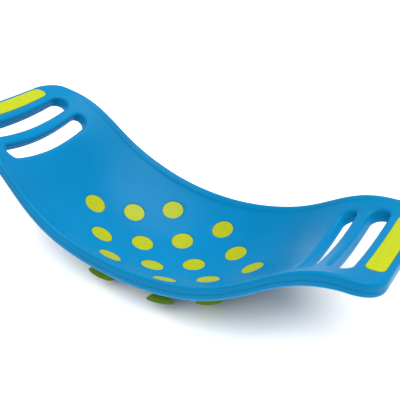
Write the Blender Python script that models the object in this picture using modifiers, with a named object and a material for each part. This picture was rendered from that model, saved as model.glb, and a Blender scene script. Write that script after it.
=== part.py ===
"""Rocking balance board: a dished two-shell deck that stands on a lattice of suction cups.

X runs along the board, Y across it and Z up. The origin is on the floor, under the board's centre.
Each moulding is modelled flat, with depth counted down from the standing surface, and then lifted
onto the curved standing surface. Cups, caps and screws sit square to that surface.
"""
import math

import bmesh
import bpy
import numpy as np
from mathutils import Matrix, Vector

MM = 0.001

# Plan of the deck
HALF_LENGTH = 343 * MM
HALF_WIDTH = 141 * MM            # at the middle
END_HALF_WIDTH = 121.5 * MM
WAIST_FROM, WAIST_TO = 0.26, 0.97   # shares of the half length where the sides draw in
CORNER_RADIUS = 38.5 * MM

# Standing surface
ROCKER_RADIUS = 269 * MM         # middle stretch, curving up towards the ends
END_RADIUS = 220 * MM            # outer stretch, curving back to level
TURN_AT, TURN_HALF = 202 * MM, 51 * MM   # where one curve runs over into the other
DISH_DEPTH = 56 * MM             # how far the sides rise above the centre line, at the middle
END_DISH_DEPTH = 1.5 * MM
DISH_POWER = 1.9

# Shells
DECK_DEPTH = 21.5 * MM
WALL = 3 * MM
GAP = 0.4 * MM
PARTING_DEPTH = 12.5 * MM         # the shells meet low on the rim's outer wall
TOP_RIM = ((7.0, 0.0), (3.0, 1.2), (0.8, 3.8), (0.0, 7.0), (0.0, PARTING_DEPTH / MM))
BOTTOM_RIM = ((5.0, 21.5), (1.4, 20.1), (0.0, 17.9), (0.0, (PARTING_DEPTH + GAP) / MM))
GRID_COLUMNS, GRID_ROWS = 22, 14
STRAIGHT_SHARE = 4 / 7           # share of the rows that lies between the corner arcs

# Hand slots and grip pads, one set at each end
SLOTS = ((238.5 * MM, 10.5 * MM), (281 * MM, 13.5 * MM))       # centre and half width
SLOT_HALF_LENGTH = 90 * MM
SLOT_CORNER_SHARE = 0.5           # how much of a wall's thickness its rounded ends take up
PAD_CENTRE = 321 * MM
PAD_HALF_WIDTH, PAD_HALF_LENGTH = 12.7 * MM, 80 * MM
PAD_CORNER = 10 * MM
PAD_PROUD, PAD_SUNK = 0.8 * MM, 1.2 * MM
POCKET_GAP = 0.3 * MM

# Suction cups and their caps, along the surface normal
CUP_STEP_X, CUP_STEP_Y = 47 * MM, 43.5 * MM
CUP_ROWS = {2: (-1, 1), 1: (-2, 0, 2), 0: (-3, -1, 1, 3), -1: (-2, 0, 2), -2: (-1, 1)}
CUP_LIP_RADIUS, CUP_HEIGHT = 20 * MM, 12.5 * MM
CUP_TRAVEL = 3 * MM
NECK_RADIUS, NECK_RISE = 7.5 * MM, 8 * MM
STUD_RADIUS, STUD_GAP, STUD_SEAT = 4.0 * MM, 0.4 * MM, 1 * MM
CAP_EDGE, HEAD_EDGE = 0.6 * MM, 0.8 * MM
CAP_RADIUS, CAP_SUNK, CAP_THICKNESS, STUD_END = 17.2 * MM, 0.3 * MM, 2.7 * MM, 15.5 * MM
CUP_BORE, BOSS_BORE = 8 * MM, 8.5 * MM
PILLAR_RADIUS, BOSS_RADIUS, BOSS_END = 11 * MM, 20.5 * MM, 6.5 * MM
TURN_STEPS = 16
BOSS_STEPS = 12

# Screws that hold the shells together, driven from below
SCREW_PLACES = ((150 * MM, 108 * MM), (308 * MM, 96 * MM))
SCREW_SEAT, SCREW_TIP = 9.5 * MM, 4.0 * MM
SHANK_RADIUS, SCREW_HEAD_RADIUS, SCREW_HEAD_HEIGHT = 1.5 * MM, 4.0 * MM, 2.5 * MM
SCREW_BOSS, SCREW_POST = 5 * MM, 7 * MM
SCREW_STEPS = 10
PILOT_GAP, WAY_GAP, RECESS_GAP, HEAD_GAP = 0.2 * MM, 0.7 * MM, 0.8 * MM, 0.3 * MM

# How cutters and bosses reach past or into the skins that they meet
OVERRUN = 10 * MM
BOSS_ROOT = 1 * MM
POST_GAP = 0.6 * MM

BLUE, LIME, RUBBER_LIME, STEEL = "0397cd", "bfd948", "b4d84a", "b9bcc0"


# ---------------------------------------------------------------- standing surface
def sine_of_slope(x):
    """Sine of the centre line's slope at |x|: its curvature runs over from one radius to the other."""
    start, stop = TURN_AT - TURN_HALF, TURN_AT + TURN_HALF
    t = np.clip((x - start) / (stop - start), 0, 1)
    turned = (stop - start) * (t ** 3 - t ** 4 / 2) + np.maximum(x - stop, 0)
    return x / ROCKER_RADIUS - (1 / ROCKER_RADIUS + 1 / END_RADIUS) * turned


def centre_line():
    """Heights of the centre line at stations 0.5 mm apart, from its slope."""
    stations = np.arange(0, HALF_LENGTH + 5 * MM, 0.5 * MM)
    sine = sine_of_slope(stations)
    slope = sine / np.sqrt(1 - sine ** 2)
    steps = (slope[1:] + slope[:-1]) / 2 * np.diff(stations)
    return stations, np.concatenate(([0.0], np.cumsum(steps)))


STATIONS, RISE = centre_line()


def half_width(x):
    share = (abs(x) / HALF_LENGTH - WAIST_FROM) / (WAIST_TO - WAIST_FROM)
    t = min(max(share, 0.0), 1.0)
    return HALF_WIDTH - (HALF_WIDTH - END_HALF_WIDTH) * t * t * (3 - 2 * t)


def height(x, y):
    """Height of the standing surface above its own centre."""
    fade = math.cos(math.pi / 2 * min(abs(x) / HALF_LENGTH, 1.0))
    dish = END_DISH_DEPTH + (DISH_DEPTH - END_DISH_DEPTH) * fade
    return float(np.interp(abs(x), STATIONS, RISE)) + dish * (abs(y) / half_width(x)) ** DISH_POWER


def normal(x, y):
    step = 0.5 * MM
    slope_x = (height(x + step, y) - height(x - step, y)) / (2 * step)
    slope_y = (height(x, y + step) - height(x, y - step)) / (2 * step)
    return Vector((-slope_x, -slope_y, 1)).normalized()


def seat(x, y, depth=0.0):
    """Frame square to the standing surface at x, y: Z along the normal, origin `depth` below it."""
    up = normal(x, y)
    across = up.cross(Vector((1, 0, 0))).normalized()
    frame = Matrix((across.cross(up), across, up)).transposed().to_4x4()
    origin = Vector((x, y, height(x, y) + STAND_HEIGHT)) - up * depth
    return Matrix.Translation(origin) @ frame


def cup_places():
    return [(i * CUP_STEP_X, row * CUP_STEP_Y) for row, columns in CUP_ROWS.items() for i in columns]


def screw_places():
    return [(a * x, b * y) for x, y in SCREW_PLACES for a in (-1, 1) for b in (-1, 1)]


def underside_depth(x, y):
    """Distance along the normal from the standing surface to the deck's underside."""
    return DECK_DEPTH * normal(x, y).z


def stand_height():
    """Height of the standing surface's centre, with the lowest cup lips on the floor."""
    lowest = 0.0
    for x, y in cup_places():
        up = normal(x, y)
        centre = height(x, y) - (underside_depth(x, y) + CUP_HEIGHT) * up.z
        lowest = min(lowest, centre - CUP_LIP_RADIUS * math.sqrt(1 - up.z ** 2))
    return -lowest


STAND_HEIGHT = stand_height()


# ---------------------------------------------------------------- scene helpers
def clear_scene():
    for obj in list(bpy.data.objects):
        bpy.data.objects.remove(obj, do_unlink=True)


def collection(name, parent=None):
    made = bpy.data.collections.new(name)
    (parent or bpy.context.scene.collection).children.link(made)
    return made


def material(name, hex_colour, roughness, metallic=0.0):
    made = bpy.data.materials.new(name)
    made.use_nodes = True
    srgb = [int(hex_colour[i:i + 2], 16) / 255 for i in (0, 2, 4)]
    linear = [c / 12.92 if c <= 0.04045 else ((c + 0.055) / 1.055) ** 2.4 for c in srgb]
    shader = made.node_tree.nodes["Principled BSDF"]
    shader.inputs["Base Color"].default_value = (*linear, 1)
    shader.inputs["Roughness"].default_value = roughness
    shader.inputs["Metallic"].default_value = metallic
    return made


def add_object(name, mesh, home, finish=None, matrix=None):
    obj = bpy.data.objects.new(name, mesh)
    home.objects.link(obj)
    if finish:
        obj.data.materials.clear()
        obj.data.materials.append(finish)
    else:
        obj.display_type = 'WIRE'
        obj.hide_render = True
    if matrix:
        obj.matrix_world = matrix
    return obj


def baked(obj):
    """A mesh that holds the object's modifiers; the object itself is removed."""
    bpy.context.view_layer.update()
    graph = bpy.context.evaluated_depsgraph_get()
    mesh = bpy.data.meshes.new_from_object(obj.evaluated_get(graph), depsgraph=graph)
    bpy.data.objects.remove(obj, do_unlink=True)
    return mesh


def lift(mesh):
    """Carry a flat moulding onto the standing surface; its walls stay upright."""
    for vertex in mesh.vertices:
        vertex.co.z += height(vertex.co.x, vertex.co.y) + STAND_HEIGHT
    return mesh


def boolean(obj, operation, operands):
    cut = obj.modifiers.new(operation.lower(), 'BOOLEAN')
    cut.operation = operation
    cut.operand_type = 'COLLECTION'
    cut.collection = operands
    cut.solver = 'EXACT'


def smooth(mesh, angle=35):
    mesh.shade_smooth()
    mesh.set_sharp_from_angle(angle=math.radians(angle))


# ---------------------------------------------------------------- shapes
def plan_point(u, v, half_x, half_y, corner):
    """Point of a plate with rounded corners for u, v in -1..1; half_y is a function of x."""
    turn = max(abs(v) - STRAIGHT_SHARE, 0.0) / (1 - STRAIGHT_SHARE) * math.pi / 2
    x = u * (half_x - corner + corner * math.cos(turn))
    straight = (half_y(x) - corner) * min(abs(v) / STRAIGHT_SHARE, 1.0)
    return x, math.copysign(straight + corner * math.sin(turn), v)


def grid(columns, rows):
    """A flat grid whose vertices remember their u, v."""
    bm = bmesh.new()
    bmesh.ops.create_grid(bm, x_segments=columns, y_segments=rows, size=1.0)
    u, v = bm.verts.layers.float.new("u"), bm.verts.layers.float.new("v")
    for vertex in bm.verts:
        vertex[u], vertex[v] = vertex.co.x, vertex.co.y
    return bm, u, v


def thickened(bm, name, home, wall):
    """The open surface as a closed wall that grows away from its normals, still flat."""
    mesh = bpy.data.meshes.new(name)
    bm.to_mesh(mesh)
    bm.free()
    obj = add_object(name, mesh, home)
    skin = obj.modifiers.new("wall", 'SOLIDIFY')
    skin.thickness = wall
    skin.offset = -1
    skin.use_even_offset = True
    return baked(obj)


def tray(name, rim, faces_down, home):
    """A shell moulding: a plate that turns over at its edge, through (inset, depth) pairs in mm."""
    bm, u, v = grid(GRID_COLUMNS, GRID_ROWS)
    edge = [e for e in bm.edges if e.is_boundary]
    ring = list(bm.verts)
    for count, (inset, depth) in enumerate(rim):
        if count:
            made = bmesh.ops.extrude_edge_only(bm, edges=edge)["geom"]
            ring = [g for g in made if isinstance(g, bmesh.types.BMVert)]
            edge = [g for g in made if isinstance(g, bmesh.types.BMEdge) and g.is_boundary]
        for vertex in ring:
            x, y = plan_point(vertex[u], vertex[v], HALF_LENGTH - inset * MM,
                              lambda x: half_width(x) - inset * MM, CORNER_RADIUS - inset * MM)
            vertex.co = (x, y, -depth * MM)
    bmesh.ops.recalc_face_normals(bm, faces=bm.faces[:])
    bm.normal_update()
    middle = min(bm.faces, key=lambda face: face.calc_center_median().to_2d().length)
    if (middle.normal.z < 0) != faces_down:
        bmesh.ops.reverse_faces(bm, faces=bm.faces[:])
    return lift(thickened(bm, name, home, WALL))


def slope_turn(x):
    """How far a wall square to the surface leans along X for each unit of depth, at y = 0."""
    along = normal(x, 0)
    return -along.x * along.z


def plate(name, centre_x, half_x, half_y, corner, top, bottom, home, lean=0.0):
    """A lifted plate with rounded corners, from depth `top` to depth `bottom`, leaning along X."""
    bm, u, v = grid(3, GRID_ROWS)
    for vertex in bm.verts:
        x, y = plan_point(vertex[u], vertex[v], half_x, lambda x: half_y, corner)
        vertex.co = (centre_x + x, y, -top)
    mesh = thickened(bm, name, home, bottom - top)
    for vertex in mesh.vertices:
        vertex.co.x -= lean * vertex.co.z
    return lift(mesh)


def slot_block(name, centre_x, half_width, margin, top, bottom, home):
    """A slot's plan, widened by `margin`, as a block whose walls stand square to the surface."""
    mesh = plate(name, centre_x, half_width + margin, SLOT_HALF_LENGTH + margin,
                 half_width + margin * SLOT_CORNER_SHARE, top, bottom, home, slope_turn(centre_x))
    add_object(name, mesh, home)


def rod(name, radius, top, bottom, place, home, steps=TURN_STEPS):
    """A round cutter or boss along the normal at `place`, between two depths."""
    bm = bmesh.new()
    bmesh.ops.create_cone(bm, cap_ends=True, segments=steps, radius1=radius, radius2=radius,
                          depth=bottom - top)
    mesh = bpy.data.meshes.new(name)
    bm.to_mesh(mesh)
    bm.free()
    return add_object(name, mesh, home, matrix=seat(*place, depth=(top + bottom) / 2))


def turned(name, profile, steps):
    """Mesh of a turned piece; the profile runs down its outer side and ends on the axis."""
    mesh = bpy.data.meshes.new(name)
    edges = [(i, i + 1) for i in range(len(profile) - 1)]
    mesh.from_pydata([(r, 0, z) for r, z in profile], edges, [])
    obj = bpy.data.objects.new(name, mesh)
    bpy.context.scene.collection.objects.link(obj)
    turn = obj.modifiers.new("turn", 'SCREW')
    turn.steps = turn.render_steps = steps
    turn.use_merge_vertices = True
    turn.merge_threshold = 0.01 * MM
    return baked(obj)


# ---------------------------------------------------------------- pieces
def top_shell(parts, cutters, finish):
    bosses, holes = collection("top_bosses", cutters), collection("top_holes", cutters)
    for place in cup_places():
        rod("cap_boss", BOSS_RADIUS, BOSS_ROOT, BOSS_END, place, bosses, BOSS_STEPS)
        rod("cap_seat", CAP_RADIUS + GAP, -OVERRUN, CAP_SUNK + CAP_THICKNESS + GAP, place, holes)
        rod("neck_hole", BOSS_BORE, BOSS_ROOT, BOSS_END + WALL, place, holes, BOSS_STEPS)
    for place in screw_places():
        rod("screw_boss", SCREW_BOSS, BOSS_ROOT, BOSS_END, place, bosses, SCREW_STEPS)
        rod("screw_pilot", SHANK_RADIUS + PILOT_GAP, SCREW_TIP - POST_GAP, SCREW_SEAT, place, holes,
            SCREW_STEPS)
    for side in (-1, 1):
        for centre, wide in SLOTS:
            slot_block("slot_wall", side * centre, wide, WALL, WALL / 2, PARTING_DEPTH, bosses)
            slot_block("slot", side * centre, wide, 0, -OVERRUN, DECK_DEPTH + OVERRUN, holes)
        mesh = plate("pad_pocket", side * PAD_CENTRE, PAD_HALF_WIDTH + POCKET_GAP,
                     PAD_HALF_LENGTH + POCKET_GAP, PAD_CORNER, -OVERRUN, PAD_SUNK + POCKET_GAP, holes)
        add_object("pad_pocket", mesh, holes)
    shell = add_object("top_shell", tray("top_shell", TOP_RIM, False, cutters), parts, finish)
    boolean(shell, 'UNION', bosses)
    boolean(shell, 'DIFFERENCE', holes)
    smooth(shell.data)


def bottom_shell(parts, cutters, finish):
    posts, holes = collection("bottom_posts", cutters), collection("bottom_holes", cutters)
    for place in cup_places():
        depth = underside_depth(*place)
        rod("pillar", PILLAR_RADIUS, BOSS_END + POST_GAP, depth - WALL / 3, place, posts, BOSS_STEPS)
        rod("cup_bore", CUP_BORE, 0, depth + OVERRUN, place, holes, BOSS_STEPS)
    for place in screw_places():
        depth = underside_depth(*place)
        rod("screw_post", SCREW_POST, BOSS_END + POST_GAP, depth - WALL / 3, place, posts, BOSS_STEPS)
        rod("screw_way", SHANK_RADIUS + WAY_GAP, 0, depth + OVERRUN, place, holes, SCREW_STEPS)
        rod("head_recess", SCREW_HEAD_RADIUS + RECESS_GAP, SCREW_SEAT, depth + OVERRUN, place, holes,
            BOSS_STEPS)
    for side in (-1, 1):
        for centre, wide in SLOTS:
            slot_block("slot_wall", side * centre, wide, WALL, PARTING_DEPTH + GAP, DECK_DEPTH - WALL / 2,
                       posts)
            slot_block("slot", side * centre, wide, 0, -OVERRUN, DECK_DEPTH + OVERRUN, holes)
    shell = add_object("bottom_shell", tray("bottom_shell", BOTTOM_RIM, True, cutters), parts, finish)
    boolean(shell, 'UNION', posts)
    boolean(shell, 'DIFFERENCE', holes)
    smooth(shell.data)


def grip_pads(parts, finish):
    for side, word in ((-1, "left"), (1, "right")):
        mesh = plate(word, side * PAD_CENTRE, PAD_HALF_WIDTH, PAD_HALF_LENGTH, PAD_CORNER,
                     -PAD_PROUD, PAD_SUNK, parts)
        add_object(f"{word}_grip_pad", mesh, parts, finish)
        smooth(mesh)


def cup_mesh():
    bore = STUD_RADIUS + STUD_GAP
    shoulder = CUP_TRAVEL + GAP
    lip, drop = CUP_LIP_RADIUS, CUP_HEIGHT
    profile = [(0, -STUD_SEAT), (bore, -STUD_SEAT), (bore, NECK_RISE), (NECK_RADIUS, NECK_RISE),
               (NECK_RADIUS, -shoulder), (0.64 * lip, -0.38 * drop), (0.92 * lip, -0.75 * drop),
               (lip, -drop), (0.93 * lip, -0.98 * drop), (0.74 * lip, -0.84 * drop), (0, -0.78 * drop)]
    return turned("suction_cup", profile, TURN_STEPS)


def cap_mesh():
    top, under = -CAP_SUNK, -CAP_SUNK - CAP_THICKNESS
    profile = [(0, top), (CAP_RADIUS - CAP_EDGE, top), (CAP_RADIUS, top - CAP_EDGE),
               (CAP_RADIUS, under), (STUD_RADIUS, under), (STUD_RADIUS, -STUD_END), (0, -STUD_END)]
    return turned("cup_cap", profile, TURN_STEPS)


def screw_mesh():
    seat_z = -SCREW_SEAT - HEAD_GAP
    end_z = seat_z - SCREW_HEAD_HEIGHT
    profile = [(0, -SCREW_TIP), (SHANK_RADIUS, -SCREW_TIP), (SHANK_RADIUS, seat_z),
               (SCREW_HEAD_RADIUS, seat_z), (0.9 * SCREW_HEAD_RADIUS, end_z + HEAD_EDGE),
               (0.5 * SCREW_HEAD_RADIUS, end_z), (0, end_z)]
    return turned("shell_screw", profile, SCREW_STEPS)


def cups_and_caps(parts, rubber, plastic):
    cup, cap = cup_mesh(), cap_mesh()
    smooth(cup)
    smooth(cap)
    for count, place in enumerate(cup_places(), start=1):
        add_object(f"suction_cup_{count:02d}", cup, parts, rubber, seat(*place, underside_depth(*place)))
        add_object(f"cup_cap_{count:02d}", cap, parts, plastic, seat(*place))


def shell_screws(parts, finish):
    mesh = screw_mesh()
    smooth(mesh)
    for count, place in enumerate(screw_places(), start=1):
        add_object(f"shell_screw_{count:02d}", mesh, parts, finish, seat(*place))


def main():
    clear_scene()
    parts, cutters = collection("balance_board"), collection("cutters")
    blue = material("deck_blue", BLUE, 0.38)
    top_shell(parts, cutters, blue)
    bottom_shell(parts, cutters, blue)
    grip_pads(parts, material("pad_lime", LIME, 0.6))
    cups_and_caps(parts, material("cup_lime", RUBBER_LIME, 0.45), material("cap_lime", LIME, 0.4))
    shell_screws(parts, material("screw_steel", STEEL, 0.3, 1.0))


main()
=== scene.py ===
"""Looks of the rocking balance board: fine shells, caps, cups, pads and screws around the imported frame."""
import math

import bmesh
import bpy
import numpy as np
from mathutils import Matrix, Vector
from mathutils.geometry import delaunay_2d_cdt


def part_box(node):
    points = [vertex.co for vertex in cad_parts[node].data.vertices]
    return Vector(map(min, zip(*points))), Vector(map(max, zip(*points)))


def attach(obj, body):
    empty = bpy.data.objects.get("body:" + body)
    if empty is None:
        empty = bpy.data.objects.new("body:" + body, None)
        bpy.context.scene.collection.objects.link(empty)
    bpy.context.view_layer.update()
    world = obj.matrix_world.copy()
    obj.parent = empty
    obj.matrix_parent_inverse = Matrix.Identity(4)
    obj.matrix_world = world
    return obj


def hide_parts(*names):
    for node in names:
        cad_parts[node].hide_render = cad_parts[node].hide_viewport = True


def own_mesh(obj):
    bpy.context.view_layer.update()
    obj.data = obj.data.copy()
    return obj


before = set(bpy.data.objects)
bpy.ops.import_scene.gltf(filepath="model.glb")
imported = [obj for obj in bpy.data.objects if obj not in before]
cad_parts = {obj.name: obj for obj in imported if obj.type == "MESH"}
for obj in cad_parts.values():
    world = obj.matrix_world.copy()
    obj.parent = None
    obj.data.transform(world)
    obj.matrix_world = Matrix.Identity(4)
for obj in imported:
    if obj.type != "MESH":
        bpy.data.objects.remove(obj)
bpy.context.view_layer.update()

MM = 0.001

# Sizes of the deck and places on it, as in the CAD
HALF_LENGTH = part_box("bottom_shell")[1].x
HALF_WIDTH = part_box("bottom_shell")[1].y
END_HALF_WIDTH = 121.5 * MM
WAIST_FROM, WAIST_TO = 0.26, 0.97
CORNER_RADIUS = 38.5 * MM
FINE_STEP = 0.5 * MM
ROCKER_RADIUS, END_RADIUS = 269 * MM, 220 * MM
TURN_AT, TURN_HALF = 202 * MM, 51 * MM
DISH_DEPTH, END_DISH_DEPTH, DISH_POWER = 56 * MM, 1.5 * MM, 1.9
DECK_DEPTH = 21.5 * MM
STAND_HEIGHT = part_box("bottom_shell")[0].z + DECK_DEPTH  # lowest point of the standing surface
SLOTS = ((238.5 * MM, 10.5 * MM), (281 * MM, 13.5 * MM))  # centre and half width
SLOT_HALF_LENGTH = 90 * MM
PAD_CENTRE = sum(corner.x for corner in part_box("right_grip_pad")) / 2
PAD_HALF = (12.7 * MM, 80 * MM)
PAD_CORNER = 10 * MM
CUP_ROWS = {2: (-1, 1), 1: (-2, 0, 2), 0: (-3, -1, 1, 3), -1: (-2, 0, 2), -2: (-1, 1)}
CUP_STEP_X, CUP_STEP_Y = 47 * MM, 43.5 * MM
CUP_PLACES = [(i * CUP_STEP_X, row * CUP_STEP_Y) for row, columns in CUP_ROWS.items() for i in columns]
SCREW_PLACES = [(a * x, b * y) for x, y in ((150 * MM, 108 * MM), (308 * MM, 96 * MM))
                for a in (-1, 1) for b in (-1, 1)]
SCREW_SEAT, SCREW_POST_TOP = 9.5 * MM, 7.1 * MM          # depths below the standing surface

# The two mouldings
PARTING, SEAM = 12.5 * MM, 0.4 * MM                      # depth and height of the line between them
SKIN = 3 * MM                                            # their thickness away from the walls
WALL, SLOT_FOOT_WALL = 3.1 * MM, 2.7 * MM                # and that of the walls
CREST_ROLL, BELLY_ROLL = 6.5 * MM, 4.5 * MM              # rounding of the upper and lower rim
MOUTH_FILLET, SLOT_FOOT_FILLET = 6 * MM, 4 * MM          # rounding of the slots, above and below
BEAD_HEIGHT, BEAD_FROM, BEAD_TO, BEAD_END = 1.2 * MM, 15 * MM, 10.5 * MM, 300 * MM
BEAD_FADE = 60 * MM
CELL = 5 * MM                                            # grid of the fine sheets
CLEARANCE = 0.55 * CELL                                  # of the grid from the drawn loops
WELD, PLATE_WELD = 1e-7, 0.002 * MM
PLATE_CELL = 3 * MM                                      # grid of the pads' faces
SHARP, CAP_SHARP = math.radians(40), math.radians(50)    # edges that turn more are left sharp

# Turned pieces and their holes, in mm
CAP_RADIUS, CAP_GAP, CAP_TOP, CAP_FOOT, CAP_EDGE = 17.2, 0.3, -0.3, -3.0, 0.7
FOLLOW_OVER = 2.5                                        # height over which a cap takes up the dish
STUD_RADIUS, STUD_CHAMFER, STUD_END = 4.0, 0.6, -15.5
NECK_RADIUS, BOSS_RADIUS, BOSS_TOP, BOSS_PROUD = 8, 11, 7, 0.6
RECESS_RADIUS, POST_RADIUS = 4.6, 7.0
SHANK_RADIUS, HEAD_RADIUS = 1.5, 4.0


# ---------------------------------------------------------------- standing surface
def centre_line():
    """Rise of the deck's middle line over its lowest point, at stations out from the centre.

    The line is an arc of ROCKER_RADIUS that turns, around TURN_AT, into one of END_RADIUS curved the
    other way, so that the ends level out.
    """
    stations = np.arange(0, HALF_LENGTH + 5 * MM, FINE_STEP)
    start, stop = TURN_AT - TURN_HALF, TURN_AT + TURN_HALF
    t = np.clip((stations - start) / (stop - start), 0, 1)
    turned = (stop - start) * (t ** 3 - t ** 4 / 2) + np.maximum(stations - stop, 0)
    sine = stations / ROCKER_RADIUS - (1 / ROCKER_RADIUS + 1 / END_RADIUS) * turned
    slope = sine / np.sqrt(1 - sine ** 2)
    steps = (slope[1:] + slope[:-1]) / 2 * np.diff(stations)
    return stations, np.concatenate(([0.0], np.cumsum(steps)))


STATIONS, RISE = centre_line()


def half_width(x):
    t = np.clip((np.abs(x) / HALF_LENGTH - WAIST_FROM) / (WAIST_TO - WAIST_FROM), 0, 1)
    return HALF_WIDTH - (HALF_WIDTH - END_HALF_WIDTH) * t * t * (3 - 2 * t)


def height(x, y):
    """Height above the floor of the standing surface; x and y may be arrays."""
    fade = np.cos(math.pi / 2 * np.minimum(np.abs(x) / HALF_LENGTH, 1.0))
    dish = END_DISH_DEPTH + (DISH_DEPTH - END_DISH_DEPTH) * fade
    middle = STAND_HEIGHT + np.interp(np.abs(x), STATIONS, RISE)
    return middle + dish * (np.abs(y) / half_width(x)) ** DISH_POWER


def normal(x, y):
    slope_x = (height(x + FINE_STEP, y) - height(x - FINE_STEP, y)) / (2 * FINE_STEP)
    slope_y = (height(x, y + FINE_STEP) - height(x, y - FINE_STEP)) / (2 * FINE_STEP)
    return Vector((-slope_x, -slope_y, 1)).normalized()


def seat(x, y, depth=0.0):
    """Frame square to the standing surface, its origin `depth` below it along the normal."""
    up = normal(x, y)
    across = up.cross(Vector((1, 0, 0))).normalized()
    turn = Matrix((across.cross(up), across, up)).transposed().to_4x4()
    return Matrix.Translation(Vector((x, y, float(height(x, y)))) - up * depth) @ turn


def underside_depth(x, y):
    """Depth of the underside along the normal; DECK_DEPTH is measured straight down."""
    return DECK_DEPTH * normal(x, y).z


def slope_turn(x, y=0.0):
    """How far, in plan, a wall square to the surface leans for each unit of depth."""
    along = normal(x, y)
    return -along.x * along.z, -along.y * along.z


# ---------------------------------------------------------------- plan loops
def outline(inset):
    """The deck's plan outline, `inset` inside its edge, anticlockwise."""
    end = HALF_LENGTH - CORNER_RADIUS
    xs = np.linspace(-end, end, 124)
    slope = np.gradient(half_width(xs), xs)
    steep = np.sqrt(1 + slope ** 2)
    side = np.stack([xs + inset * slope / steep, half_width(xs) - inset / steep], 1)[::-1]
    corner_y = half_width(end) - CORNER_RADIUS
    turn = np.linspace(0, math.pi / 2, 15)[1:-1]
    arc = np.stack([end + (CORNER_RADIUS - inset) * np.cos(turn),
                    corner_y + (CORNER_RADIUS - inset) * np.sin(turn)], 1)
    rise = np.linspace(-corner_y, corner_y, 34)
    right = np.stack([np.full_like(rise, HALF_LENGTH - inset), rise], 1)
    far_side = np.concatenate([arc, side, np.flip(arc, 0) * (-1, 1)])
    return np.concatenate([right, far_side, -right, -far_side])


def bead(x, y):
    """Rise of the soft bead along the long sides of the top shell."""
    inset = half_width(x) - np.abs(y)
    rise = np.clip((BEAD_FROM - inset) / (BEAD_FROM - BEAD_TO), 0, 1)
    fade = np.clip((BEAD_END - np.abs(x)) / BEAD_FADE, 0, 1)
    return BEAD_HEIGHT * rise ** 2 * (3 - 2 * rise) * fade ** 2 * (3 - 2 * fade)


def bead_lines():
    """Lines in plan along the bead, so that the triangles follow it."""
    xs = np.arange(-BEAD_END, BEAD_END + CELL, CELL)
    lines = []
    for inset in np.linspace(BEAD_TO, BEAD_FROM, 5):
        for side in (-1, 1):
            lines.append(np.stack([xs, side * (half_width(xs) - inset)], 1))
    return lines


def stadium(centre_x, wide, offset):
    """Plan outline of a slot of half width `wide`, `offset` outside its wall."""
    turn = np.linspace(0, math.pi, 19)
    radius, straight = wide + offset, SLOT_HALF_LENGTH - wide
    cap = np.stack([radius * np.cos(turn), straight + radius * np.sin(turn)], 1)
    run = np.linspace(straight, -straight, 32)[1:-1]
    left = np.stack([np.full_like(run, -radius), run], 1)
    return np.concatenate([cap, left, -cap, -left]) + (centre_x, 0)


def pad_outline(side, grown):
    """Plan outline of a grip pad, `grown` outside its edge."""
    half_x, half_y, corner = PAD_HALF[0] + grown, PAD_HALF[1] + grown, PAD_CORNER + grown
    turn = np.linspace(0, math.pi / 2, 8)
    arc = np.stack([half_x - corner + corner * np.cos(turn), half_y - corner + corner * np.sin(turn)], 1)
    over = np.linspace(half_x - corner, corner - half_x, 4)[1:-1]
    down = np.linspace(half_y - corner, corner - half_y, 30)[1:-1]
    half = np.concatenate([arc, np.stack([over, np.full_like(over, half_y)], 1),
                           np.flip(arc, 0) * (-1, 1), np.stack([np.full_like(down, -half_x), down], 1)])
    return np.concatenate([half, -half]) + (side * PAD_CENTRE, 0)


def ring(place, radius, depth=0.0, count=48):
    """Plan view of a circle that lies square to the standing surface."""
    matrix = seat(*place, depth=depth)
    points = [matrix @ Vector((radius * math.cos(a), radius * math.sin(a), 0))
              for a in np.linspace(0, 2 * math.pi, count, endpoint=False)]
    return np.array([(p.x, p.y) for p in points])


def inside(loop, points):
    """Which points lie inside a closed loop."""
    a, b = loop, np.roll(loop, -1, 0)
    x, y = points[:, :1], points[:, 1:]
    crosses = (a[:, 1] > y) != (b[:, 1] > y)
    with np.errstate(divide='ignore', invalid='ignore'):
        at = a[:, 0] + (y - a[:, 1]) * (b[:, 0] - a[:, 0]) / (b[:, 1] - a[:, 1])
    return (crosses & (x < at)).sum(1) % 2 == 1


def clear_of(loop, points, distance):
    """Which points keep this distance from every point of a loop."""
    gap = np.full(len(points), np.inf)
    for a in loop:
        gap = np.minimum(gap, np.hypot(points[:, 0] - a[0], points[:, 1] - a[1]))
    return gap > distance


# ---------------------------------------------------------------- fine meshes
def add_piece(name, mesh, finish, body="deck"):
    obj = bpy.data.objects.new(name, mesh)
    bpy.context.scene.collection.objects.link(obj)
    mesh.materials.clear()
    mesh.materials.append(finish)
    mesh.shade_smooth()
    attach(obj, body)
    return obj


def into_mesh(bm, mesh):
    bm.to_mesh(mesh)
    bm.free()
    return mesh


def even_grid(rim, holes, features, loops):
    """Grid points inside the rim, outside the holes and feature edges, and clear of every loop."""
    xs = np.arange(-HALF_LENGTH, HALF_LENGTH, CELL)
    ys = np.arange(-HALF_WIDTH, HALF_WIDTH, CELL) + CELL / 2
    grid = np.stack(np.meshgrid(xs, ys), -1).reshape(-1, 2)
    keep = inside(rim[-1][0], grid)
    for group in holes:
        keep &= ~inside(group[-1][0], grid)
    for group in features:
        keep &= inside(group[0][0], grid) | ~inside(group[-1][0], grid)
    for loop in loops:
        low, high = loop.min(0) - CELL, loop.max(0) + CELL
        near = keep & (grid > low).all(1) & (grid < high).all(1)
        keep[near] &= clear_of(loop, grid[near], CLEARANCE)
    return grid[keep]


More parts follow.
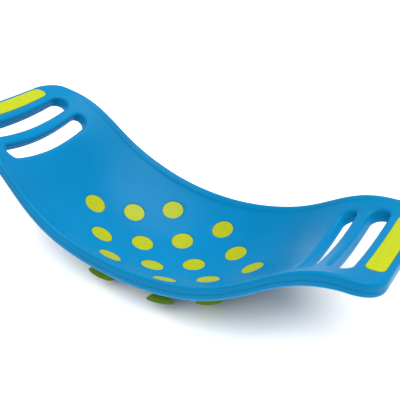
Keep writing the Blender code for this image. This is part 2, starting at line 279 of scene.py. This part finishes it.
def sheet_pair(name, rim, holes, features, base, hidden_base, lines=(), relief=None):
    """A closed moulding between two lifted sheets that share one plan.

    rim, each hole and each feature is a list of (loop, depth, hidden depth), outermost first for the
    rim and innermost first for a hole, so that the first loop is where the moulding ends. A fourth
    entry is how far the wall leans, in plan, for each unit of depth below `base`.
    """
    loops = list(rim) + [one for group in holes + features for one in group]
    points = [one[0] for one in loops]
    depth, hidden = ([np.full(len(one[0]), one[k]) for one in loops] for k in (1, 2))
    lean = [np.tile(one[3] if len(one) > 3 else (0.0, 0.0), (len(one[0]), 1)) for one in loops]
    edges, start = [], 0
    for loop in points:
        count = len(loop)
        edges += [(start + i, start + (i + 1) % count) for i in range(count)]
        start += count
    for line in lines:
        edges += [(start + i, start + i + 1) for i in range(len(line) - 1)]
        points.append(line)
        depth.append(np.full(len(line), base))
        hidden.append(np.full(len(line), hidden_base))
        lean.append(np.zeros((len(line), 2)))
        start += len(line)
    grid = even_grid(rim, holes, features, points)
    grid_depth, grid_hidden = np.full(len(grid), base), np.full(len(grid), hidden_base)
    for group in features:
        within = inside(group[0][0], grid)
        grid_depth[within], grid_hidden[within] = group[0][1], group[0][2]
    plan = np.concatenate(points + [grid])
    depth = np.concatenate(depth + [grid_depth])
    hidden = np.concatenate(hidden + [grid_hidden])
    lean = np.concatenate(lean + [np.zeros((len(grid), 2))])
    made = delaunay_2d_cdt([Vector(p) for p in plan], edges, [], 0, WELD)
    source = np.array([o[0] for o in made[3]])
    faces = np.array([f for f in made[2] if len(f) == 3])
    xy = np.array([(p.x, p.y) for p in made[0]])
    middle = xy[faces].mean(1)
    shown = inside(rim[0][0], middle)
    for group in holes:
        shown &= ~inside(group[0][0], middle)
    faces = faces[shown] if base < hidden_base else faces[shown][:, ::-1]
    lift = relief(xy[:, 0], xy[:, 1]) if relief else 0
    sheets = []
    for level, rise in ((depth[source], lift), (hidden[source], 0)):
        at = xy + lean[source] * (level - base)[:, None]
        sheets.append(np.column_stack([at, height(at[:, 0], at[:, 1]) - level + rise]))
    return closed_shell(name, sheets, faces.tolist())


def closed_shell(name, sheets, faces):
    """Two sheets with the same faces, and walls between them along every free edge."""
    count = len(sheets[0])
    skin = [tuple(f) for f in faces]
    back = [tuple(i + count for i in f[::-1]) for f in skin]
    ways = [way for f in skin for way in zip(f, f[1:] + f[:1])]
    taken = set(ways)
    walls = [(b, a, a + count, b + count) for a, b in ways if (b, a) not in taken]
    mesh = bpy.data.meshes.new(name)
    mesh.from_pydata(np.concatenate(sheets).tolist(), [], skin + back + walls)
    bm = bmesh.new()
    bm.from_mesh(mesh)
    loose = [v for v in bm.verts if not v.link_faces]
    bmesh.ops.delete(bm, geom=loose, context='VERTS')
    return into_mesh(bm, mesh)


def quarter(radius, offset):
    """How far a quarter-round edge of this radius has dropped, `offset` inside its tangent wall."""
    inward = max(radius - offset, 0.0)
    return radius - math.sqrt(max(radius ** 2 - inward ** 2, 0.0))


def top_mesh():
    """The upper moulding: rolled rim and slot mouths, cap holes, shallow pad pockets, side beads."""
    rounds = [1 - math.sin(math.radians(a)) for a in (90, 80, 68, 56, 44, 30, 15, 0)]
    rim = []
    for inset in (CREST_ROLL * share for share in rounds):
        rim.append((outline(inset), quarter(CREST_ROLL, inset), PARTING if inset < WALL else SKIN))
    holes, features = [], []
    for side in (-1, 1):
        for centre, wide in SLOTS:
            holes.append([(stadium(side * centre, wide, out), quarter(MOUTH_FILLET, out),
                           PARTING if out < WALL else SKIN, slope_turn(side * centre))
                          for out in (MOUTH_FILLET * share for share in rounds)])
        pocket = ((0.18, 1.5), (0.3, 0.5), (0.42, 0.12), (0.8, 0))
        features.append([(pad_outline(side, out * MM), depth * MM, SKIN) for out, depth in pocket])
    for place in CUP_PLACES:
        holes.append([(ring(place, (CAP_RADIUS + CAP_GAP + out) * MM), depth * MM, SKIN)
                      for out, depth in ((0, 0.4), (0.12, 0.12), (0.4, 0))])
    return sheet_pair("deck_top_shell", rim, holes, features, 0.0, SKIN, bead_lines(), bead)


def bottom_mesh():
    """The lower moulding: rolled rim and slot feet, a boss around each cup's neck, screw recesses."""
    field = DECK_DEPTH - SKIN
    rim = []
    for inset in (s * MM for s in (0, 0.1, 0.3, 0.7, 1.2, 2.0, 2.9, 3.2, 4.5)):
        rim.append((outline(inset), DECK_DEPTH - quarter(BELLY_ROLL, inset),
                    PARTING + SEAM if inset < WALL else field))
    holes = []
    for side in (-1, 1):
        for centre, wide in SLOTS:
            lean = slope_turn(side * centre)
            foot = side * centre + lean[0] * DECK_DEPTH
            holes.append([(stadium(foot, wide, out), DECK_DEPTH - quarter(SLOT_FOOT_FILLET, out),
                           PARTING + SEAM if out < SLOT_FOOT_WALL else field, lean)
                          for out in (s * MM for s in (0, 0.1, 0.35, 0.8, 1.5, 2.6, 2.9, 4.0))])
    boss = ((NECK_RADIUS, BOSS_PROUD - 0.4, BOSS_TOP * MM), (NECK_RADIUS + 0.3, BOSS_PROUD, BOSS_TOP * MM),
            (BOSS_RADIUS, BOSS_PROUD, BOSS_TOP * MM), (BOSS_RADIUS + 0.4, BOSS_PROUD - 0.1, field),
            (BOSS_RADIUS + 1, 0, field))
    for place in CUP_PLACES:
        foot = underside_depth(*place)
        holes.append([(ring(place, radius * MM, foot), DECK_DEPTH + proud * MM, top)
                      for radius, proud, top in boss])
    for place in SCREW_PLACES:
        foot, lean, steep = underside_depth(*place), slope_turn(*place), normal(*place).z
        seat_at, post = SCREW_SEAT / steep, SCREW_POST_TOP / steep
        recess = ((SHANK_RADIUS + 0.3, seat_at, post), (RECESS_RADIUS - 0.05, seat_at, post),
                  (RECESS_RADIUS, DECK_DEPTH - 0.4 * MM, post), (RECESS_RADIUS + 0.4, DECK_DEPTH, post),
                  (POST_RADIUS, DECK_DEPTH, post), (POST_RADIUS + 0.6, DECK_DEPTH, field))
        holes.append([(ring(place, radius * MM, foot, 32), depth, top, lean)
                      for radius, depth, top in recess])
    return sheet_pair("deck_bottom_shell", rim, holes, [], DECK_DEPTH, field)


def turned_mesh(name, profile, steps):
    """A turned piece from an (r, z) profile in mm that runs down the outer side between axis points."""
    bm = bmesh.new()
    rings = []
    for r, z in profile:
        if r == 0:
            rings.append([bm.verts.new((0, 0, z * MM))])
        else:
            rings.append([bm.verts.new((r * MM * math.cos(a), r * MM * math.sin(a), z * MM))
                          for a in np.linspace(0, 2 * math.pi, steps, endpoint=False)])
    for upper, lower in zip(rings, rings[1:]):
        for i in range(steps):
            j = (i + 1) % steps
            if len(upper) == 1:
                bm.faces.new((upper[0], lower[i], lower[j]))
            elif len(lower) == 1:
                bm.faces.new((upper[i], lower[0], upper[j]))
            else:
                bm.faces.new((upper[i], lower[i], lower[j], upper[j]))
    return into_mesh(bm, bpy.data.meshes.new(name))


def arc_points(centre, radius, start, stop, count):
    """Profile points on a round, angles in degrees from +r towards +z."""
    return [(centre[0] + radius * math.cos(a), centre[1] + radius * math.sin(a))
            for a in np.radians(np.linspace(start, stop, count))]


# Socket for the stud, neck, outer bell, lip and inner bell; z = 0 is the deck's underside
CUP_PROFILE = ([(0, -1), (4.4, -1), (4.4, 8)] + arc_points((6.9, 7.4), 0.6, 90, 0, 4)
               + [(7.5, -0.2), (7.6, -0.75), (9.0, -0.85)] + arc_points((9.2, -1.65), 0.8, 90, 0, 4)
               + [(10.1, -2.3), (10.4, -2.9), (11.2, -3.6), (12.8, -4.6), (14.6, -5.8), (16.3, -7.3),
                  (17.8, -9.0), (18.9, -10.7), (19.5, -11.8)]
               + arc_points((19.55, -12.05), 0.45, 40, -110, 6)
               + [(18.7, -12.1), (17.8, -11.5), (16.4, -10.9), (14.0, -10.3), (10.5, -9.95), (5, -9.8),
                  (0, -9.75)])


def cup_piece(index, place, finish):
    """A suction cup under the deck; its axis stands square to the surface, from the underside down."""
    foot = seat(*place, depth=underside_depth(*place))
    mesh = turned_mesh(f"cup_{index:02d}", CUP_PROFILE, 64)
    mesh.transform(foot)
    piece = add_piece(f"cup_{index:02d}_rubber", mesh, finish)
    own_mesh(piece)
    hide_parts(f"suction_cup_{index:02d}")


def cap_piece(index, place, finish):
    """A cap whose face follows the dish; its stud runs down into the cup's neck."""
    profile = ([(r, CAP_TOP) for r in np.arange(0, CAP_RADIUS - 1, 2)]
               + arc_points((CAP_RADIUS - CAP_EDGE, CAP_TOP - CAP_EDGE), CAP_EDGE, 90, 0, 6)
               + [(CAP_RADIUS, CAP_FOOT), (STUD_RADIUS, CAP_FOOT), (STUD_RADIUS, STUD_END + STUD_CHAMFER),
                  (STUD_RADIUS - STUD_CHAMFER, STUD_END), (0, STUD_END)])
    mesh = turned_mesh(f"cap_{index:02d}", profile, 64)
    flat, up = seat(*place), normal(*place)
    for vertex in mesh.vertices:
        follow = min(max((vertex.co.z / MM - CAP_FOOT) / FOLLOW_OVER, 0), 1)
        plane = flat @ Vector((vertex.co.x, vertex.co.y, 0))
        above = (float(height(plane.x, plane.y)) - plane.z) * up.z
        vertex.co = flat @ vertex.co + up * above * follow
    piece = add_piece(f"cap_{index:02d}_face", mesh, finish)
    mesh.set_sharp_from_angle(angle=CAP_SHARP)
    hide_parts(f"cup_cap_{index:02d}")


def pad_piece(word, side, finish):
    """A grip pad: rounded edges, lifted onto the deck, just proud of it."""
    spec = [(0, 1.2), (0, -0.1), (0.12, -0.45), (0.4, -0.7), (0.8, -0.8)]      # inset and depth in mm
    bm = bmesh.new()
    loops = [pad_outline(side, -inset * MM) for inset, _ in spec]
    rings = [[bm.verts.new((x, y, float(height(x, y)) - depth * MM)) for x, y in loop]
             for loop, (_, depth) in zip(loops, spec)]
    for low, high in zip(rings, rings[1:]):
        for i in range(len(low)):
            j = (i + 1) % len(low)
            bm.faces.new((low[i], low[j], high[j], high[i]))
    plates = [plate_fill(loops[-1], spec[-1][1] * MM, True), plate_fill(loops[0], spec[0][1] * MM, False)]
    for verts, faces in plates:
        made = [bm.verts.new(v) for v in verts]
        for f in faces:
            bm.faces.new([made[i] for i in f])
    bmesh.ops.remove_doubles(bm, verts=bm.verts[:], dist=PLATE_WELD)
    piece = add_piece(f"{word}_pad", into_mesh(bm, bpy.data.meshes.new(word)), finish)
    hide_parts(f"{word}_grip_pad")


def plate_fill(loop, depth, face_up):
    """The region inside a loop, triangulated with an even grid and lifted."""
    xs, ys = (np.arange(*ends, PLATE_CELL) for ends in zip(loop.min(0), loop.max(0)))
    grid = np.stack(np.meshgrid(xs, ys), -1).reshape(-1, 2)
    grid = grid[inside(loop, grid)]
    grid = grid[clear_of(loop, grid, PLATE_CELL / 2)]
    plan = np.concatenate([loop, grid])
    edges = [(i, (i + 1) % len(loop)) for i in range(len(loop))]
    made = delaunay_2d_cdt([Vector(p) for p in plan], edges, [], 1, WELD)
    verts = [(p.x, p.y, float(height(p.x, p.y)) - depth) for p in made[0]]
    faces = [f if face_up else f[::-1] for f in made[2]]
    return verts, faces


def screw_piece(index, place, finish):
    """Pan-head screw; only its head shows, down in the recess under the deck."""
    head = -SCREW_SEAT / MM - 0.3
    profile = ([(0, -4.0), (0.9, -4.0), (SHANK_RADIUS, -4.8), (SHANK_RADIUS, head), (HEAD_RADIUS, head),
                (HEAD_RADIUS, head - 0.7)]
               + arc_points((HEAD_RADIUS - 1.5, head - 1.0), 1.5, 0, -80, 6) + [(0, head - 2.5)])
    mesh = turned_mesh(f"screw_{index:02d}", profile, 40)
    piece = add_piece(f"screw_{index:02d}", mesh, finish)
    mesh.set_sharp_from_angle(angle=SHARP)
    piece.matrix_world = seat(*place)
    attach(piece, "deck")
    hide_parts(f"shell_screw_{index:02d}")


# ---------------------------------------------------------------- materials
def srgb(*values):
    return [((v / 255 + 0.055) / 1.055) ** 2.4 if v > 10 else v / 255 / 12.92 for v in values] + [1]


class Nodes:
    """Shorthand for building a material's node tree."""

    def __init__(self, name):
        self.material = bpy.data.materials.new(name)
        self.material.use_nodes = True
        self.tree = self.material.node_tree
        self.shader = self.tree.nodes["Principled BSDF"]
        self.place = self.add("ShaderNodeTexCoord").outputs["Object"]

    def add(self, kind, **inputs):
        node = self.tree.nodes.new(kind)
        for key, value in inputs.items():
            node.inputs[key.replace("_", " ").title()].default_value = value
        return node

    def link(self, a, b):
        self.tree.links.new(a, b)

    def noise(self, scale, detail, roughness=0.5):
        node = self.add("ShaderNodeTexNoise", scale=scale, detail=detail, roughness=roughness)
        self.link(self.place, node.inputs["Vector"])
        return node.outputs["Fac"]

    def spread(self, source, low, high):
        """Stretch a noise, which lies mostly between 0.3 and 0.7, over a range."""
        node = self.add("ShaderNodeMapRange", from_min=0.3, from_max=0.7, to_min=low, to_max=high)
        self.link(source, node.inputs["Value"])
        return node.outputs["Result"]

    def tint(self, factor, dark, light):
        ramp = self.add("ShaderNodeValToRGB")
        ramp.color_ramp.elements[0].color = dark
        ramp.color_ramp.elements[1].color = light
        self.link(factor, ramp.inputs["Fac"])
        self.link(ramp.outputs["Color"], self.shader.inputs["Base Color"])

    def bump(self, source, distance, strength, under=None):
        node = self.add("ShaderNodeBump", distance=distance, strength=strength)
        self.link(source, node.inputs["Height"])
        if under:
            self.link(under, node.inputs["Normal"])
        return node.outputs["Normal"]

    def set(self, **values):
        for key, value in values.items():
            self.shader.inputs[key.replace("_", " ")].default_value = value


def surface(name, dark, light, mottle, sheen, grains, specular, metallic=0.0):
    """A material that varies a little over the piece.

    `mottle` is the noise between the two colours, as (scale, detail). `sheen` is the noise of the
    roughness with its lowest and highest value. Each of `grains` is one layer of bump: its noise as
    (scale, detail, roughness), its height and its strength.
    """
    n = Nodes(name)
    n.tint(n.spread(n.noise(*mottle), 0, 1), dark, light)
    sheen_noise, low, high = sheen
    n.link(n.spread(n.noise(*sheen_noise), low, high), n.shader.inputs["Roughness"])
    grain = None
    for noise, distance, strength in grains:
        grain = n.bump(n.noise(*noise), distance, strength, grain)
    n.link(grain, n.shader.inputs["Normal"])
    n.set(Specular_IOR_Level=specular, Metallic=metallic)
    return n.material


def lime_rubber(name, dark, light, roughness):
    return surface(name, dark, light, (160, 4), ((240, 4), roughness - 0.05, roughness + 0.06),
                   [((1800, 3, 0.6), 0.06 * MM, 0.7)], 0.2)


# ---------------------------------------------------------------- studio
FLOOR_HALF, FLOOR_GREY = 12, 0.58
WORLD_STRENGTH = 0.5
CAMERA_AT = Vector((0.4421, -0.8038, 0.6062 + STAND_HEIGHT))
CAMERA_YAW, CAMERA_PITCH, CAMERA_ROLL = (math.radians(a) for a in (26.38, -28.66, 7.41))
CAMERA_LENS, CAMERA_SENSOR = 63.6, 36


def studio():
    """White paper floor, even grey light, one soft light overhead and one for the floor alone."""
    scene = bpy.context.scene
    scene.view_settings.view_transform = 'Standard'
    bm = bmesh.new()
    bmesh.ops.create_grid(bm, x_segments=1, y_segments=1, size=FLOOR_HALF)
    floor_mesh = into_mesh(bm, bpy.data.meshes.new("floor"))
    floor = bpy.data.objects.new("floor", floor_mesh)
    scene.collection.objects.link(floor)
    paper = Nodes("floor_paper")
    paper.set(Base_Color=(FLOOR_GREY, FLOOR_GREY, FLOOR_GREY, 1), Roughness=0.8, Specular_IOR_Level=0.1)
    floor_mesh.materials.append(paper.material)
    world = bpy.data.worlds.new("studio")
    scene.world = world
    world.use_nodes = True
    background = world.node_tree.nodes["Background"]
    background.inputs["Color"].default_value = (1, 1, 1, 1)
    background.inputs["Strength"].default_value = WORLD_STRENGTH
    soft_light("overhead", (0.1, 0.1, 1.0), 50, 3.2)
    fill = soft_light("floor_front", (0.1, -0.72, 0.75), 36, 6.6)
    only_floor = bpy.data.collections.new("lit_by_floor_front")
    only_floor.objects.link(floor)
    fill.light_linking.receiver_collection = only_floor


def soft_light(name, towards, spread, strength):
    """A wide, far softbox: `towards` points from the board to it, `spread` is its width in degrees."""
    light = bpy.data.lights.new(name, 'SUN')
    light.energy = strength
    light.angle = math.radians(spread)
    obj = bpy.data.objects.new(name, light)
    bpy.context.scene.collection.objects.link(obj)
    obj.rotation_euler = Vector(towards).to_track_quat('Z', 'Y').to_euler()
    return obj


def camera():
    """The photo's view: yaw from +y towards -x, pitch upwards, roll lifting the camera's right side."""
    ahead = Vector((-math.sin(CAMERA_YAW) * math.cos(CAMERA_PITCH),
                    math.cos(CAMERA_YAW) * math.cos(CAMERA_PITCH), math.sin(CAMERA_PITCH)))
    right = Vector((math.cos(CAMERA_YAW), math.sin(CAMERA_YAW), 0))
    up = right.cross(ahead)
    tilted_right = math.cos(CAMERA_ROLL) * right + math.sin(CAMERA_ROLL) * up
    tilted_up = math.cos(CAMERA_ROLL) * up - math.sin(CAMERA_ROLL) * right
    data = bpy.data.cameras.new("camera")
    data.sensor_width = CAMERA_SENSOR
    data.lens = CAMERA_LENS
    obj = bpy.data.objects.new("camera", data)
    bpy.context.scene.collection.objects.link(obj)
    turn = Matrix((tilted_right, tilted_up, -ahead)).transposed().to_4x4()
    obj.matrix_world = Matrix.Translation(CAMERA_AT) @ turn
    bpy.context.scene.camera = obj


# ---------------------------------------------------------------- the board
def main():
    camera()
    studio()
    blue = surface("deck_blue_plastic", srgb(0, 120, 172), srgb(0, 125, 178), (14, 3),
                   ((90, 5, 0.6), 0.30, 0.37),
                   [((900, 2, 0.5), 0.04 * MM, 0.6), ((5200, 2, 0.6), 0.012 * MM, 0.5)], 0.06)
    top = add_piece("deck_top", top_mesh(), blue)
    top.data.set_sharp_from_angle(angle=SHARP)
    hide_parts("top_shell")
    bottom = add_piece("deck_bottom", bottom_mesh(), blue)
    bottom.data.set_sharp_from_angle(angle=SHARP)
    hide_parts("bottom_shell")
    cap_finish = surface("cap_lime_plastic", srgb(162, 171, 4), srgb(169, 178, 8), (120, 4),
                         ((300, 4), 0.38, 0.46), [((2600, 3, 0.6), 0.03 * MM, 0.6)], 0.2)
    cup_finish = lime_rubber("cup_lime_silicone", srgb(142, 166, 24), srgb(154, 178, 32), 0.42)
    pad_finish = lime_rubber("pad_lime_rubber", srgb(172, 184, 10), srgb(180, 191, 14), 0.6)
    zinc = surface("screw_zinc", srgb(176, 180, 186), srgb(205, 208, 212), (700, 4),
                   ((1500, 4), 0.24, 0.4), [((4000, 2), 0.01 * MM, 1.0)], 0.5, 1.0)
    for index, place in enumerate(CUP_PLACES, start=1):
        cap_piece(index, place, cap_finish)
        cup_piece(index, place, cup_finish)
    for side, word in ((-1, "left"), (1, "right")):
        pad_piece(word, side, pad_finish)
    for index, place in enumerate(SCREW_PLACES, start=1):
        screw_piece(index, place, zinc)


main()
